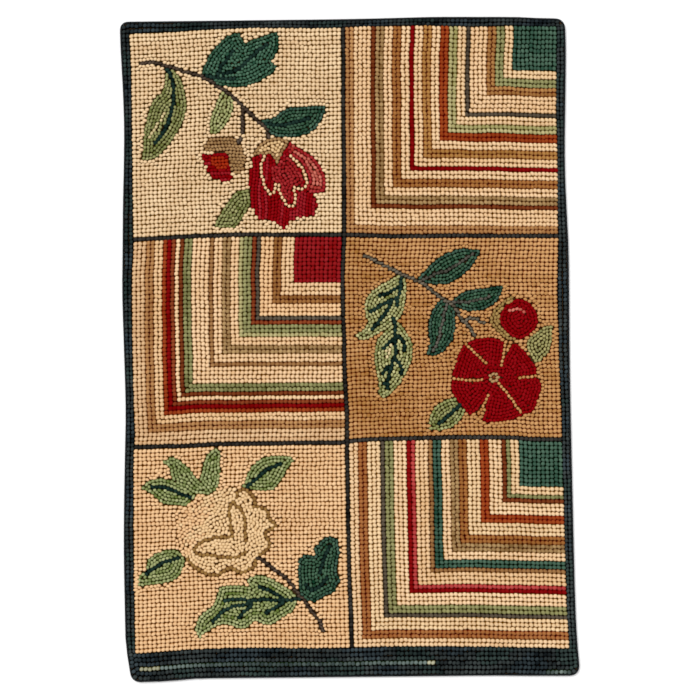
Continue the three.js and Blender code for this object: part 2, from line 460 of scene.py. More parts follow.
BOTTOM_STRIPES = [
    ("pink_cream", 2), ("ochre_rust", 2), ("yellow_cream", 3), ("charcoal", 1), ("sage", 2),
    ("pink_cream", 3), ("dark_red", 1), ("light_crimson", 1), ("warm_cream", 3), ("tan", 1),
    ("forest", 2), ("pink_cream", 2), ("khaki", 2), ("tan_brown", 2), ("yellow_cream", 3), ("rust", 2),
    ("pink_cream", 3), ("brown", 1), ("sage", 1), ("yellow_cream", 2),
]


def held(edge, at):
    """An edge's place at one spot, kept all along, so that rows next to a rounded corner stay even."""
    return lambda t: edge(at) + 0 * np.asarray(t, float)


def border():
    """Two dark rows along the top and the sides and six along the bottom, in three near dye lots."""
    upright = np.ones((SIDE_LOOPS, SIDE_ROWS), bool)
    at_corners = (held(outer_left, CORNER_HEIGHT), held(outer_right, CORNER_HEIGHT))
    low_and_high = (inner_bottom, inner_top)
    packed = {"press": 0.89, "snug": 0.99}
    right = grid((inner_right, outer_right, *low_and_high), SIDE_ROWS, SIDE_LOOPS, 61, upright, **packed)
    left = grid((outer_left, inner_left, *low_and_high), SIDE_ROWS, SIDE_LOOPS, 62, upright, **packed)
    top = grid((*at_corners, inner_top, outer_top), TOP_LOOPS, SIDE_ROWS, 63, press=0.95, snug=0.99)
    below = (outer_left, outer_right, outer_bottom, inner_bottom)
    foot_rows = grid(below, FOOT_LOOPS, FOOT_ROWS, 64, **packed)
    loops = np.concatenate([band.ravel() for band in (right, left, top, foot_rows)])
    x, y = loops["x"], loops["y"]
    patch = waves(x, y, 71, 40, 120)
    dyes = [yarn("border_slate"), yarn("border_bottle")]
    loops["yarn"] = np.select([patch > 0.45, patch < -0.5], dyes, yarn("border_charcoal"))
    loops["tone"] += 0.15 * waves(x, y, 72, 30, 90) - 0.05
    # a little lighter along the right side and darker along the top
    loops["tone"] += 0.12 * (x > 290) - 0.15 * (y > 442)
    rng = np.random.default_rng(74)
    long_streak = line(
        (-262, 0.8), (-240, 0.6), (-215, 0.4), (-180, 0.2), (-90, 0.08), (-62, 0.2), (10, 0.28), (30, 0.4),
        (80, 0.55), (100, 0.75),
    )
    corner_streak = line((266, 0.1), (286, 0.35), (290, 0.95), (294, 0.35), (306, 0.2))
    # row, where the streak starts and ends, and how pale it is from place to place
    streaks = ((foot_rows[2], -293, 118, long_streak), (foot_rows[0], 266, 306, corner_streak))
    for row, start, end, paler in streaks:
        near = np.hypot(x[:, None] - row["x"], y[:, None] - row["y"]).min(1) < 0.01
        near &= (x > start) & (x < end)
        loops["yarn"][near] = yarn("streak_slate")
        loops["tone"][near] = paler(x[near]) + rng.normal(0, 0.07, near.sum())
        # both ends of the long streak are hooked in a paler yarn
        ends = near & (y > -445) & ((x < -268) | (x > 104))
        loops["yarn"][ends] = yarn("streak_pale")
        loops["tone"][ends] = 0.4 + rng.normal(0, 0.3, ends.sum())
    return loops


def dividers():
    """The single dark rows between the blocks."""
    upright = np.ones((DIVIDER_LOOPS, 1), bool)
    rows = [grid((left_column[1], right_column[0], inner_bottom, inner_top), 1, DIVIDER_LOOPS, 81, upright)]
    for cross in (upper_cross, lower_cross):
        for column in (left_column, right_column):
            sides = (*column, moved(cross, -half), moved(cross, half))
            rows.append(grid(sides, CROSS_LOOPS, 1, 81 + len(rows)))
    loops = np.concatenate([row.ravel() for row in rows])
    loops["yarn"] = yarn("divider_dark")
    return loops


# Flower and leaf shapes


def curve(points, closed=True, step=0.6):
    """A smooth line through a few places. A place with a third number is a sharp corner."""
    places = np.array([p[:2] for p in points], float)
    sharp = [len(p) > 2 for p in points]
    count = len(places)
    spans = count if closed else count - 1
    out = []
    for i in range(spans):
        a, b = places[i], places[(i + 1) % count]
        before, after = places[(i - 1) % count], places[(i + 2) % count]
        ends_a = sharp[i] or (not closed and i == 0)
        ends_b = sharp[(i + 1) % count] or (not closed and i == spans - 1)
        from_a = (b - before) / 2
        to_b = (after - a) / 2
        if ends_a and ends_b:
            from_a = to_b = b - a
        elif ends_a:
            from_a = 1.5 * (b - a) - 0.5 * to_b
        elif ends_b:
            to_b = 1.5 * (b - a) - 0.5 * from_a
        # a cubic from one place to the next, which leaves and meets them in the ways just found
        t = np.linspace(0, 1, max(2, int(np.hypot(*(b - a)) / step)), endpoint=False)[:, None]
        out.append(
            (2 * t**3 - 3 * t**2 + 1) * a
            + (t**3 - 2 * t**2 + t) * from_a
            + (3 * t**2 - 2 * t**3) * b
            + (t**3 - t**2) * to_b
        )
    if not closed:
        out.append(places[-1:])
    return np.concatenate(out)


def inside(points, outline):
    """Which points lie inside a closed outline: those whose level line crosses it an odd number of times."""
    x, y = points[:, 0, None], points[:, 1, None]
    x0, y0 = outline[:, 0], outline[:, 1]
    x1, y1 = np.roll(x0, -1), np.roll(y0, -1)
    over = (y0 > y) != (y1 > y)
    rise = np.where(y1 == y0, 1e-9, y1 - y0)
    return (over & (x < (x1 - x0) * (y - y0) / rise + x0)).sum(1) % 2 == 1


FAR = 1e6  # mm: no loop near at all


def reach(points, others):
    """The distance from each point to the nearest of the others."""
    if len(others) == 0:
        return np.full(len(points), FAR)
    return np.hypot(points[:, 0, None] - others[:, 0], points[:, 1, None] - others[:, 1]).min(1)


def directions(points, closed=True):
    """Which way a line of close points runs at each of them."""
    ways = np.roll(points, -1, axis=0) - np.roll(points, 1, axis=0)
    if not closed:
        ways[0], ways[-1] = points[1] - points[0], points[-1] - points[-2]
    return ways / np.maximum(np.hypot(ways[:, 0], ways[:, 1]), 1e-9)[:, None]


def spots_over(low, high, step):
    """Places on a fine square grid over a box."""
    xs, ys = np.meshgrid(np.arange(low[0], high[0], step), np.arange(low[1], high[1], step))
    return np.stack([xs.ravel(), ys.ravel()], 1)


def roomiest(spots, room, apart):
    """Gives the spot that has the most room, again and again, as long as a loop still fits there."""
    while len(room) and room.max() > apart:
        point = spots[room.argmax()]
        yield point
        room = np.minimum(room, np.hypot(*(spots - point).T))


MOST_LOOPS = 4000  # in one spray
EASE_REACH = 13  # mm round a spray in which the loops of the ground give way
GAP_REACH = 11  # mm round a spray in which gaps in the ground are filled
NEIGHBOUR_REACH = 12  # mm within which loops push each other
EASE_ROUNDS = 14
EASE_STEP = 0.6  # mm that a loop gives way in one round at most
EDGE_ROOM = 2.5  # mm from a loop's middle to the edge of its block
CROWD = 0.87  # of a row's pitch: how near a loop may come to the loops of another row
FILL_CROWD = 0.83  # the same where a last hole is filled
STRAIGHT_CROWD = 0.82  # the same in a shape of straight rows
LOOSE_CROWD = 0.85  # the same in a shape whose loops follow no row


class Motif:
    """The loops of a flower spray, hooked in rows: lines first, then each shape from its edge inwards."""

    def __init__(self, seed):
        self.rng = np.random.default_rng(seed)
        self.place = np.zeros((MOST_LOOPS, 2))
        self.way = np.zeros((MOST_LOOPS, 2))
        self.dye = np.zeros(MOST_LOOPS, int)
        self.tone = np.zeros(MOST_LOOPS)
        self.count = 0
        self.shapes = []

    def hook(self, point, way, dye, tone):
        """Adds one loop."""
        n = self.count
        self.place[n], self.way[n], self.dye[n], self.tone[n] = point, way, dye, tone
        self.count += 1

    @property
    def hooked(self):
        """The places of the loops so far."""
        return self.place[: self.count]

    def clear(self, point):
        """How far a point is from every loop so far."""
        if self.count == 0:
            return FAR
        return float(np.sqrt(((self.hooked - point) ** 2).sum(1).min()))

    def row(self, points, dye, spacing, apart, zigzag=0.0):
        """Hooks one row along a line of close points, wherever there is room."""
        if len(points) < 2:
            return
        ways = directions(points, closed=False)
        tone = 0.5 + self.rng.normal(0, 0.1)
        last = None
        for point, way in zip(points, ways):
            if last is not None and math.dist(point, last) < spacing:
                continue
            if self.clear(point) < apart:
                continue
            zigzag = -zigzag
            sideways = np.array([-way[1], way[0]]) * (zigzag + self.rng.normal(0, 0.35))
            self.hook(point + sideways, way, dye, tone + self.rng.normal(0, 0.18))
            last = point

    def stems(self, dye, *lines, spacing=ALONG_PITCH, zigzag=0.0):
        """Lines of single loops in one dye."""
        for points in lines:
            self.row(curve(points, closed=False), yarn(dye), spacing, spacing * 0.8, zigzag)

    def shape(self, points, *dyes, rows=None):
        """Adds a closed shape. The first dye is its edge row, and the last fills what is left. With rows, an
        angle in degrees, it is hooked in straight rows that run that way, now and then one in the last dye.
        With rows loose, its loops follow no row."""
        outline = curve(points)
        area = np.sum(outline[:, 0] * np.roll(outline[:, 1], -1) - np.roll(outline[:, 0], -1) * outline[:, 1])
        self.shapes.append((outline if area > 0 else outline[::-1], [yarn(d) for d in dyes], rows))

    def straight(self, outline, above, dyes, rows):
        """Hooks a shape in rows side by side that all run one way, so that its edge is left ragged."""
        turn = math.radians(rows)
        way = np.array([math.cos(turn), math.sin(turn)])
        side = np.array([-way[1], way[0]])
        span = np.hypot(*np.ptp(outline, axis=0)) / 2
        for offset in np.arange(-span, span, ROW_PITCH * 0.97):
            tone = 0.5 + self.rng.normal(0, 0.15)
            dye = dyes[-1] if self.rng.random() < 0.25 else dyes[0]
            t = np.arange(-span + self.rng.uniform(0, ALONG_PITCH), span, ALONG_PITCH * 0.93)
            # each row wavers by about a millimetre
            across = offset + 1.1 * np.sin(t / 10 + offset / 17)
            points = (outline.max(0) + outline.min(0)) / 2 + t[:, None] * way + across[:, None] * side
            keep = inside(points, outline) & (reach(points, outline) > 1.2)
            for other in above:
                keep &= ~inside(points, other)
            for point in points[keep]:
                if self.clear(point) > ROW_PITCH * STRAIGHT_CROWD:
                    self.hook(point, way, dye, tone + self.rng.normal(0, 0.12))

    def fill(self):
        """Hooks the shapes, the last added lying on top."""
        for n in range(len(self.shapes) - 1, -1, -1):
            outline, dyes, rows = self.shapes[n]
            above = [shape[0] for shape in self.shapes[n + 1 :]]
            if rows == "loose":
                self.holes(outline, above, dyes[0], ROW_PITCH * LOOSE_CROWD)
                continue
            if rows is not None:
                self.straight(outline, above, dyes, rows)
                self.holes(outline, above, dyes[0], ROW_PITCH * FILL_CROWD)
                continue
            ways = directions(outline)
            inward = np.stack([-ways[:, 1], ways[:, 0]], 1)
            # rows inwards from the edge, until none fits
            for depth in range(12):
                inset = (depth + 0.5) * ROW_PITCH
                points = outline + inward * inset
                keep = inside(points, outline) & (reach(points, outline) >= inset - 0.5)
                for other in above:
                    keep &= ~inside(points, other)
                if not keep.any():
                    break
                self.row(points[keep], dyes[min(depth, len(dyes) - 1)], ALONG_PITCH * 0.95, ROW_PITCH * CROWD)
            self.holes(outline, above, dyes[-1], ROW_PITCH * FILL_CROWD)

    def holes(self, outline, above, dye, apart):
        """Hooks a loop wherever a shape still has room for one."""
        low, high = outline.min(0), outline.max(0)
        spots = spots_over(low, high, 0.8)
        spots = spots[inside(spots, outline)]
        spots = spots[reach(spots, outline) > 1.8]
        for other in above:
            spots = spots[~inside(spots, other)]
        for point in roomiest(spots, reach(spots, self.hooked), apart):
            near = ((self.hooked - point) ** 2).sum(1).argmin()
            self.hook(point, self.way[near], dye, 0.5 + self.rng.normal(0, 0.13))

    def with_ground(self, ground, sides):
        """The spray's loops and those of the ground round it, eased apart where they crowd."""
        rng = self.rng
        flat = ground.ravel()
        places = np.stack([flat["x"], flat["y"]], 1)
        covered = np.zeros(len(places), bool)
        for outline, _, _ in self.shapes:
            covered |= inside(places, outline)
        flat = flat[~covered & (reach(places, self.hooked) > PITCH * 0.75)]
        added = self.gaps(flat)
        own = np.zeros(self.count + len(added), LOOP)
        own["x"], own["y"] = np.concatenate([self.hooked, added]).T
        own["way_x"][: self.count], own["way_y"][: self.count] = self.way[: self.count].T
        own["way_x"][self.count :] = 1
        own["yarn"][: self.count] = self.dye[: self.count]
        own["yarn"][self.count :] = flat["yarn"][0]
        own["tone"][: self.count] = self.tone[: self.count]
        own["tone"][self.count :] = MIDDLE_SHADE + rng.normal(0, 0.1, len(added))
        own["along"], own["across"] = ALONG_PITCH / 2, ROW_PITCH / 2
        own["top"] = PILE_TOP - CROWN_STRAY * np.abs(rng.normal(0, 1, len(own)))
        own["lean_x"], own["lean_y"] = rng.normal(0, CROWN_STRAY, (2, len(own)))
        own["slant"] = rng.normal(0, 0.2, len(own)) + 0.45 * np.isin(own["yarn"], STEM_YARNS)
        loops = np.concatenate([own, flat])
        ours = np.arange(len(loops)) < self.count
        loops = self.eased(loops, ours, sides)
        # share of the length and of the width that its room would give a loop of each kind of row
        kinds = (BEAD_YARNS, BOLD_YARNS, STEM_YARNS, PALE_YARNS, LEAF_YARNS)
        beads, bold, stem, pale, leaf = (ours & np.isin(loops["yarn"], kind) for kind in kinds)
        leaf &= ~bold
        sizes = ((beads, 0.86, 0.93), (bold, 1, 1.3), (stem, 1, 0.86), (pale, 1.06, 1.07), (leaf, 0.96, 0.94))
        for which, along, across in sizes:
            loops["along"][which] *= along
            loops["across"][which] *= across
        loops["top"] -= 0.3 * (ours & ~bold & ~pale)
        return loops

    def gaps(self, flat):
        """Ground loops for the gaps left round the spray."""
        taken = np.concatenate([self.hooked, np.stack([flat["x"], flat["y"]], 1)])
        low, high = self.hooked.min(0) - 8, self.hooked.max(0) + 8
        spots = spots_over(low, high, 1.0)
        spots = spots[(spots[:, 1] < flat["y"].max() + 1) & (spots[:, 1] > flat["y"].min() - 1)]
        spots = spots[reach(spots, self.hooked) < GAP_REACH]
        for outline, _, _ in self.shapes:
            spots = spots[~inside(spots, outline)]
        added = list(roomiest(spots, reach(spots, taken), PITCH * 0.7))
        return np.array(added).reshape(-1, 2)

    def eased(self, loops, ours, sides):
        """Pushes crowded loops apart near the spray, then fits each loop to the room it has."""
        left, right, bottom, top = sides
        places = np.stack([loops["x"], loops["y"]], 1)
        moving = np.where(reach(places, places[ours]) < EASE_REACH)[0]
        apart = np.hypot(places[moving, 0, None] - places[:, 0], places[moving, 1, None] - places[:, 1])
        one, other = np.where(apart < NEIGHBOUR_REACH)
        one = moving[one]
        one, other = one[one != other], other[one != other]
        # the spray's own loops give way less than the ground's, and its bold and beaded rows hardly at all
        share = np.where(ours, 0.55, 1.0)[:, None]
        share[ours & np.isin(loops["yarn"], BOLD_YARNS + BEAD_YARNS)] = 0.1
        for _ in range(EASE_ROUNDS):
            gap = places[one] - places[other]
            apart = np.maximum(np.hypot(gap[:, 0], gap[:, 1]), 0.1)[:, None]
            step = np.zeros_like(places)
            np.add.at(step, one, gap / apart * np.clip(EASED_PITCH - apart, 0, None) * 0.22)
            places += np.clip(step, -EASE_STEP, EASE_STEP) * share
            x, y = places[:, 0].copy(), places[:, 1].copy()
            places[moving, 0] = np.clip(x, left(y) + EDGE_ROOM, right(y) - EDGE_ROOM)[moving]
            places[moving, 1] = np.clip(y, bottom(x) + EDGE_ROOM, top(x) - EDGE_ROOM)[moving]
        loops["x"], loops["y"] = places.T
        gap = places[moving][:, None, :] - places[None, :, :]
        way = np.stack([loops["way_x"], loops["way_y"]], 1)[moving]
        along = gap[:, :, 0] * way[:, 0, None] + gap[:, :, 1] * way[:, 1, None]
        across = gap[:, :, 0] * -way[:, 1, None] + gap[:, :, 1] * way[:, 0, None]
        along[np.arange(len(moving)), moving] = FAR
        across[np.arange(len(moving)), moving] = FAR
        # a loop's neighbours ahead and behind set its length, and those beside it its width
        in_row = np.abs(across) < 0.62 * np.abs(along)
        room_along = np.where(in_row, np.abs(along), FAR)
        room_across = np.where(~in_row, np.abs(across), FAR)
        two_along = np.sort(room_along, axis=1)[:, :2].mean(1)
        two_across = np.sort(room_across, axis=1)[:, :2].mean(1)
        loops["along"][moving] = np.clip(two_along / 2, 2.3, 3.4) * OVERLAP
        loops["across"][moving] = np.clip(two_across / 2, 2.2, 3.4) * 1.03
        return loops


STEM_YARNS = [yarn("stem_brown"), yarn("stem_grey")]
LEAF_YARNS = [yarn(n) for n in yarn_names if n.startswith("leaf")]
BEAD_YARNS = [yarn("white_cream"), yarn("petal_gap")]  # thin rows of parted beads
PALE_YARNS = [yarn("rose_white"), yarn("peach_cream")]
BOLD_YARNS = STEM_YARNS + [yarn("leaf_vein"), yarn("petal_line")]  # single rows that stand out over the rest


def rose_spray():
    """The red rose, its bud and leaves, on the cream ground at the top left."""
    motif = Motif(101)
    motif.stems(
        "stem_brown",
        [(-281, 400), (-274, 399), (-268, 400), (-260, 399), (-252, 396), (-245, 394), (-237, 392),
         (-231, 390), (-224, 387), (-217, 385), (-210, 384), (-198, 379), (-186, 372), (-174, 364),
         (-162, 356), (-150, 345), (-141, 336), (-129, 324), (-120, 316), (-112, 309), (-108, 300),
         (-108, 294)],
        [(-142, 333), (-143, 323), (-143, 310), (-144, 298)],
        spacing=STEM_PITCH, zigzag=0.3,
    )
    motif.stems("stem_brown", [(-146, 292), (-150, 288)], spacing=STEM_PITCH)
    motif.stems("leaf_vein", [(-247, 391), (-239, 372), (-239, 345), (-245, 320), (-254, 302), (-265, 288)])
    motif.stems("leaf_cream", [(-251, 329), (-262, 313), (-272, 296)])
    motif.stems(
        "leaf_vein",
        [(-192, 381), (-181, 378), (-171, 377), (-160, 376), (-149, 376)],
        [(-178, 379), (-175, 386), (-172, 393), (-167, 399), (-162, 405), (-157, 411), (-155, 418)],
        [(-152, 388), (-145, 392), (-138, 398), (-131, 405), (-125, 411), (-117, 417), (-109, 423)],
        [(-169, 383), (-160, 385), (-152, 386)],
        [(-116, 314), (-92, 311), (-70, 315), (-48, 322)],
    )
    motif.stems("leaf_light", [(-166, 352), (-169, 336), (-174, 322)])
    motif.stems(
        "white_cream",
        [(-114, 268), (-118, 253), (-116, 237), (-112, 224), (-103, 215), (-98, 229)],
        [(-95, 229), (-91, 216), (-85, 203), (-78, 198), (-72, 203), (-73, 224)],
        [(-72, 225), (-61, 222), (-55, 232), (-59, 246), (-68, 259), (-81, 271)],
        spacing=BEAD_PITCH,
    )
    # big sage leaf at the left
    motif.shape([
        (-248, 395, 1), (-253, 362), (-268, 345), (-279, 310), (-281, 282), (-284, 264, 1), (-262, 269),
        (-237, 298), (-221, 332), (-226, 370), (-238, 390),
    ], "leaf_sage")
    # notched dark leaf above the stem
    motif.shape([
        (-200, 383, 1), (-186, 412), (-166, 433), (-147, 441, 1), (-139, 425, 1), (-121, 432),
        (-94, 441, 1), (-92, 420), (-102, 400, 1), (-95, 392, 1), (-108, 379), (-137, 366), (-170, 366),
        (-188, 373),
    ], "leaf_teal", "leaf_bright")
    # dark leaf at the right
    motif.shape([
        (-120, 318, 1), (-100, 322), (-82, 334), (-60, 336), (-28, 337, 1), (-33, 318), (-50, 300),
        (-76, 294), (-100, 297), (-112, 307),
    ], "leaf_dark", "leaf_teal")
    # small pale leaf that hangs from the stem
    motif.shape([
        (-172, 359, 1), (-180, 340), (-188, 320), (-188, 296, 1), (-170, 308), (-158, 328), (-156, 348),
    ], "leaf_pale")
    # leaf below the rose
    motif.shape([
        (-137, 223, 1), (-134, 204), (-141, 190), (-154, 168, 1), (-185, 170, 1), (-174, 192),
        (-160, 212), (-150, 220),
    ], "leaf_sage")
    # bud in its calyx
    motif.shape([
        (-199, 275, 1), (-190, 293), (-172, 297), (-150, 293), (-141, 275), (-141, 253), (-149, 242, 1),
        (-158, 244, 1), (-162, 256), (-166, 273, 1),
    ], "calyx", rows=-3)
    motif.shape([
        (-201, 273, 1), (-164, 273, 1), (-161, 253), (-157, 240, 1), (-165, 233, 1), (-188, 240),
        (-196, 256),
    ], "rose_deep", "rose_row", rows=-4)
    motif.shape([
        (-186, 270, 1), (-166, 270, 1), (-164, 256), (-168, 250), (-181, 252), (-187, 261),
    ], "rust_red", rows=-4)
    # rose: deep outer petals, lighter right petal and heart, then its pale cap
    motif.shape([
        (-129, 271, 1), (-134, 240), (-134, 205), (-122, 182), (-108, 180), (-99, 174), (-86, 163, 1),
        (-78, 178), (-62, 183), (-46, 186), (-41, 200), (-48, 215, 1), (-30, 218), (-30, 240), (-42, 262),
        (-62, 277), (-78, 287, 1), (-88, 273), (-96, 256, 1), (-105, 271), (-116, 272),
    ], "rose_deep", "rose_row", rows=88)
    motif.shape([
        (-78, 287, 1), (-62, 277), (-42, 262), (-30, 240), (-30, 218, 1), (-50, 217), (-57, 224),
        (-52, 236), (-62, 258), (-80, 273),
    ], "rose_mid", "rose_light")
    motif.shape([
        (-96, 254, 1), (-84, 268), (-69, 254), (-60, 236), (-68, 226), (-76, 222), (-77, 206), (-88, 210),
        (-96, 226), (-104, 240), (-104, 254),
    ], "rose_mid")
    motif.shape([
        (-130, 270, 1), (-120, 285), (-106, 293), (-90, 293), (-78, 288, 1), (-87, 273), (-96, 254, 1),
        (-105, 271), (-116, 270),
    ], "calyx", "cap_cream")
    motif.fill()
    return motif


def pinwheel_spray():
    """The open red flower, its bud and leaves, on the tan ground at the middle right."""
    motif = Motif(202)
    motif.stems(
        "stem_grey",
        [(25, 129), (43, 119), (61, 110), (76, 102), (91, 96), (106, 88), (118, 78), (130, 68), (141, 62),
         (150, 53), (157, 40), (168, 28), (175, 15)],
        [(164, 39), (173, 40), (185, 35), (193, 34)],
        spacing=STEM_PITCH, zigzag=0.5,
    )
    motif.stems(
        "rib_grey",
        [(105, 95), (122, 102), (140, 108), (158, 119), (174, 130)],
        [(147, 63), (164, 63), (182, 66), (200, 72)],
        [(136, 59), (132, 44), (128, 25), (124, 7), (116, -5)],
    )
    motif.stems(
        "leaf_vein",
        [(75, 101), (73, 84), (68, 66)],
        [(71, 85), (58, 78), (42, 72)],
        [(68, 69), (51, 63), (28, 49)],
        [(61, 66), (54, 52), (42, 37), (30, 24)],
        [(68, 66), (68, 55)],
        [(63, 41), (65, 26), (65, 8), (66, -7)],
        [(65, 14), (52, 4), (48, -4)],
        [(67, 17), (77, 8), (77, -4)],
        [(66, -7), (60, -22), (56, -37), (53, -56)],
        [(64, -15), (46, -36)],
        [(64, -15), (73, -26), (73, -35)],
        [(58, -37), (47, -53)],
        [(124, -105), (135, -96), (145, -87), (155, -79)],
    )
    motif.stems(
        "leaf_cream",
        [(58, 6), (57, -4), (53, -15)],
        [(53, 2), (51, -8)],
    )
    motif.stems("rose_light", [(224, 50), (231, 53), (238, 52), (246, 48)])
    # khaki heart of the flower, and the pale lines between its petals
    x, y = 201, -42
    for turn in np.arange(7) * 2 * math.pi / 7:
        place = (x + BEAD_PITCH * math.cos(turn), y + BEAD_PITCH * math.sin(turn))
        motif.hook(place, (1, 0), yarn("calyx"), 0.9)
    motif.hook((x, y), (1, 0), yarn("brown"), 0.5)
    motif.stems(
        "petal_gap",
        [(163, 5), (178, -10), (193, -24)],
        [(218, 7), (215, -9), (212, -25)],
        [(225, 6), (220, -5)],
        [(259, -40), (246, -42), (232, -43)],
        [(237, -90), (222, -68), (207, -49)],
        [(180, -91), (187, -79), (193, -67)],
        [(146, -43), (166, -45), (185, -45)],
    )
    # two feathery leaves at the left
    motif.shape([
        (72, 102, 1), (59, 95), (43, 87), (29, 75), (23, 60), (24, 45), (28, 36), (19, 25), (5, 16, 1),
        (23, 12), (39, 19), (52, 26), (66, 37), (76, 50), (80, 69), (81, 87), (79, 99),
    ], "leaf_light")
    motif.shape([
        (65, 38, 1), (54, 26), (42, 14), (36, -4), (37, -25), (41, -49), (41, -63), (47, -69, 1),
        (58, -63), (70, -50), (81, -32), (89, -11), (87, 11), (78, 26), (71, 35),
    ], "leaf_light")
    # three dark leaves on the stem
    motif.shape([
        (184, 134, 1), (172, 137), (153, 136), (134, 129), (117, 117), (105, 105), (94, 96, 1), (108, 91),
        (122, 88), (140, 89), (155, 98), (169, 109), (178, 121),
    ], "leaf_dark", "leaf_teal")
    motif.shape([
        (216, 85, 1), (197, 83), (179, 81), (161, 77), (149, 69), (141, 65, 1), (150, 57), (164, 51),
        (182, 51), (197, 57), (209, 67),
    ], "leaf_dark", "leaf_teal")
    motif.shape([
        (135, 69, 1), (123, 62), (115, 47), (111, 29), (112, 7), (107, -11, 1), (123, -10), (137, 1),
        (147, 19), (149, 40), (146, 62, 1),
    ], "leaf_dark", "leaf_teal")
    # calyx and bud
    motif.shape([
        (227, 71, 1), (212, 61), (200, 49), (197, 34), (206, 22), (217, 12, 1), (233, 12), (240, 39),
        (234, 64),
    ], "khaki_green")
    motif.shape([
        (236, 66), (250, 62), (259, 51), (263, 38), (259, 25), (248, 15), (236, 11), (223, 17), (214, 28),
        (209, 38), (215, 53), (225, 62),
    ], "rose_deep")
    # small light leaf at the right and the leaf below
    motif.shape([
        (283, 30, 1), (270, 27), (258, 18), (248, 9), (248, -3), (253, -14), (260, -25, 1), (269, -16),
        (278, -7), (282, 9),
    ], "leaf_mist")
    motif.shape([
        (112, -114, 1), (111, -99), (117, -85), (129, -75), (147, -70), (156, -75), (161, -84),
        (157, -96), (147, -108), (131, -114),
    ], "leaf_pale", "leaf_sage")
    # the open flower
    motif.shape([
        (163, 6, 1), (177, 11), (197, 13), (216, 8, 1), (212, -23, 1), (229, 6, 1), (242, -3), (252, -17),
        (260, -28, 1), (260, -43, 1), (267, -54), (263, -70), (255, -91, 1), (243, -93, 1), (236, -97, 1),
        (220, -102), (203, -104), (184, -105, 1), (193, -69, 1), (169, -95, 1), (158, -84), (147, -70),
        (141, -53, 1), (144, -43, 1), (144, -37, 1), (148, -23), (154, -5, 1), (159, 3),
    ], "rose_deep")
    motif.fill()
    return motif


